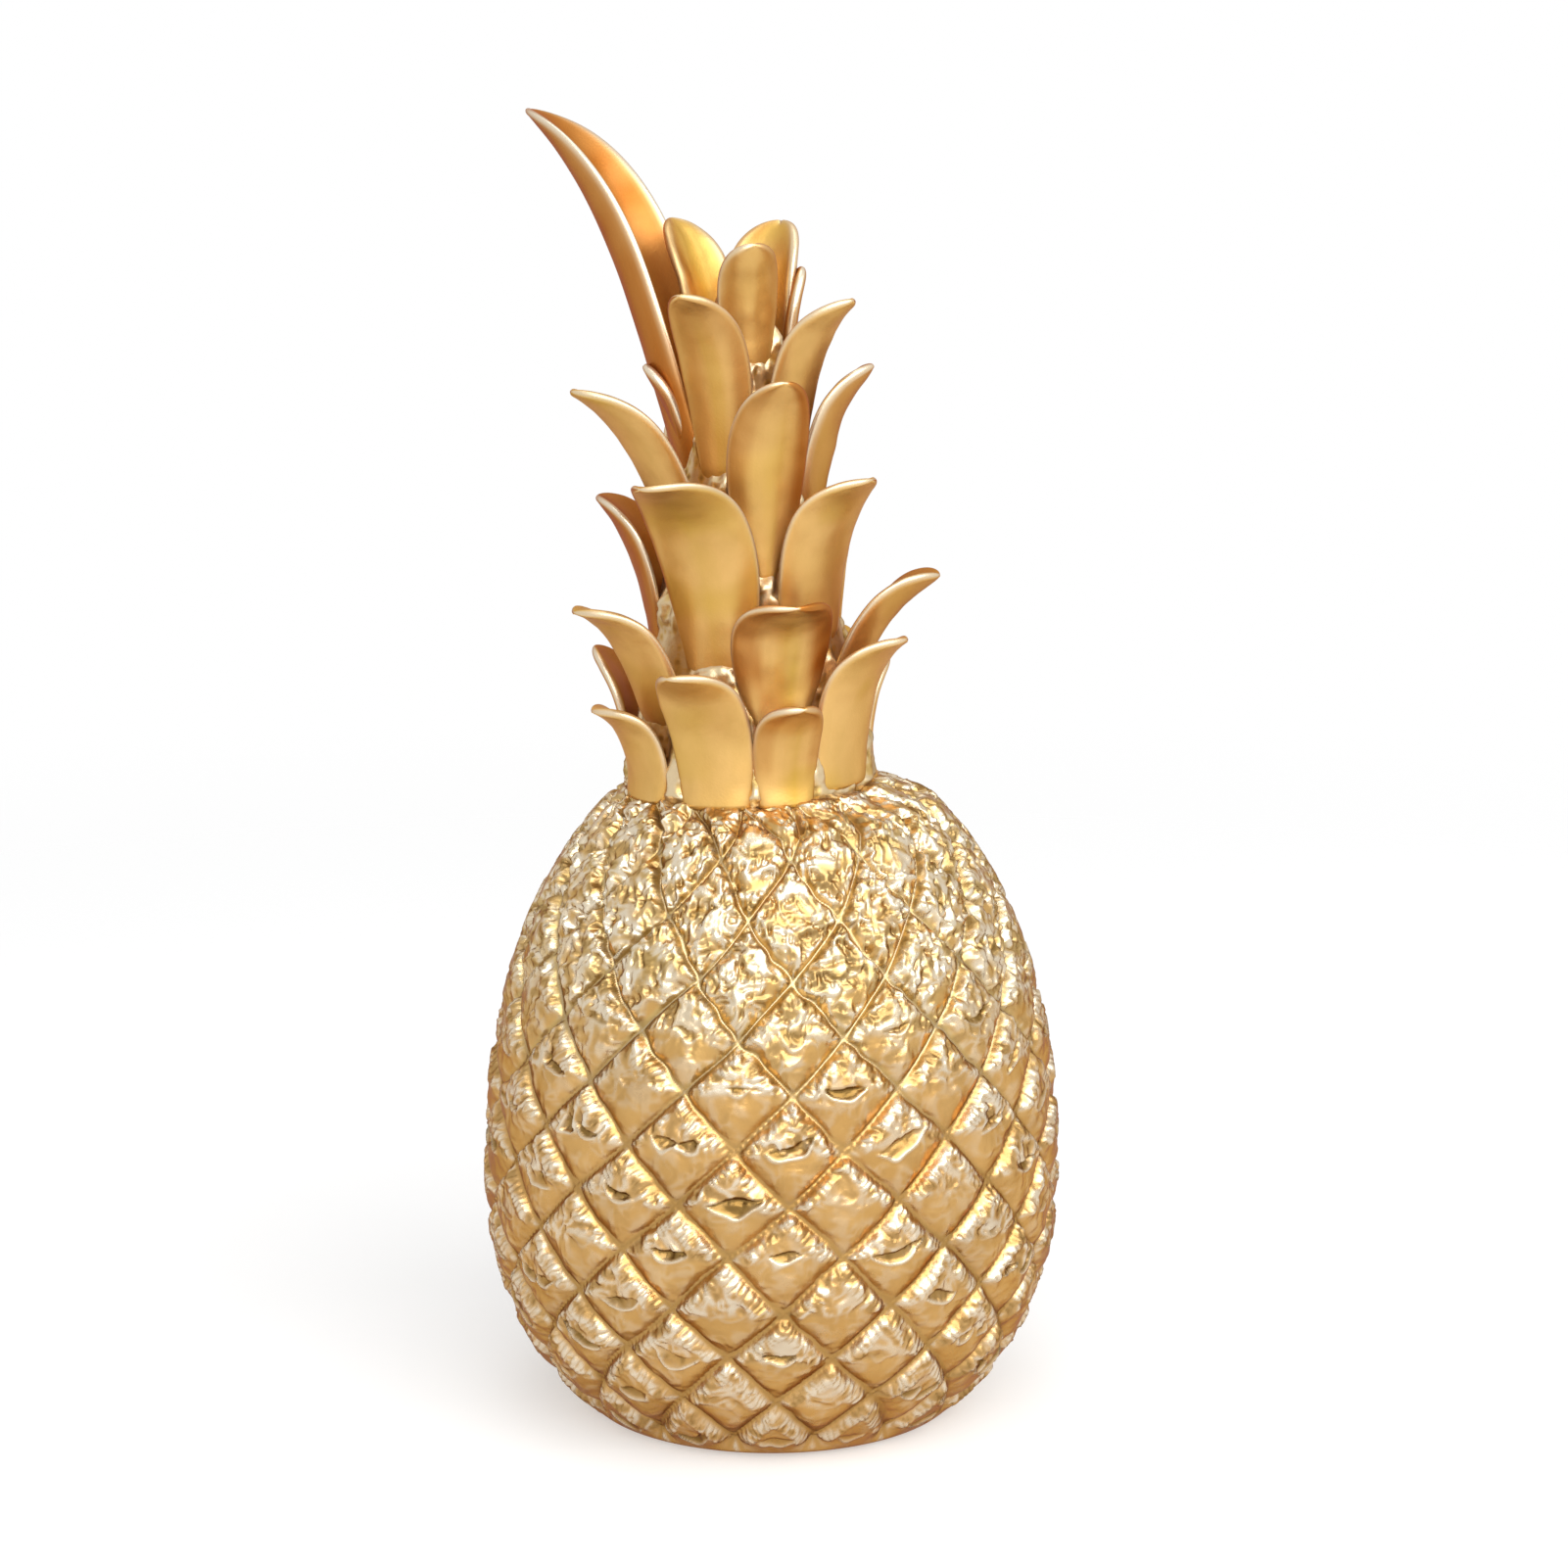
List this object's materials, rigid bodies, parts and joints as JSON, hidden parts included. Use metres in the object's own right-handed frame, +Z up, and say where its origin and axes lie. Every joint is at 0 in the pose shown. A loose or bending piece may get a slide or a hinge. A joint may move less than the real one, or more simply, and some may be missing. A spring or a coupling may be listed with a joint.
{
  "type": "pineapple figurine",
  "caption": "Standing gold pineapple ornament: hollow fruit with diamond eyes in relief, and a crown of separate curled leaves on a tapering stalk.",
  "frame": {"origin": "on the table, under the middle of the fruit, at the underside of the felt disc", "axes": "+Z up through the crown; -Y is the side that the picture shows; +X to its right"},
  "size_m": [0.0944, 0.0944, 0.2102],
  "materials": {
    "gold": "satin",
    "bare_resin": "matte",
    "felt": "matte"
  },
  "bodies": {
    "root": {"crown_stalk": "gold", "tier1_leaf_left": "gold", "tier1_leaf_front_left": "gold", "tier1_leaf_front_right": "gold", "tier1_leaf_right": "gold", "tier1_leaf_far_right": "gold", "tier1_leaf_back_right": "gold", "tier1_leaf_back_left": "gold", "tier1_leaf_far_left": "gold", "tier2_leaf_left": "gold", "tier2_leaf_front": "gold", "tier2_leaf_right": "gold", "tier2_leaf_back_right": "gold", "tier2_leaf_back_left": "gold", "tier3_leaf_front_left": "gold", "tier3_leaf_front_right": "gold", "tier3_leaf_left": "gold", "tier3_leaf_back": "gold", "tier3_leaf_far_right": "gold", "tier4_leaf_front": "gold", "tier4_leaf_left": "gold", "tier4_leaf_right": "gold", "tier4_leaf_back_left": "gold", "tier4_leaf_back_right": "gold", "tier5_leaf_front_left": "gold", "tier5_leaf_front_right": "gold", "tier5_leaf_back": "gold", "tier5_leaf_left": "gold", "tier6_leaf_front": "gold", "tier6_leaf_right": "gold", "tier6_leaf_back_right": "gold", "tier6_leaf_back_left": "gold", "top_leaf": "gold", "fruit_shell": "gold", "base_plug": "bare_resin", "base_felt": "felt"}
  },
  "joints": []
}
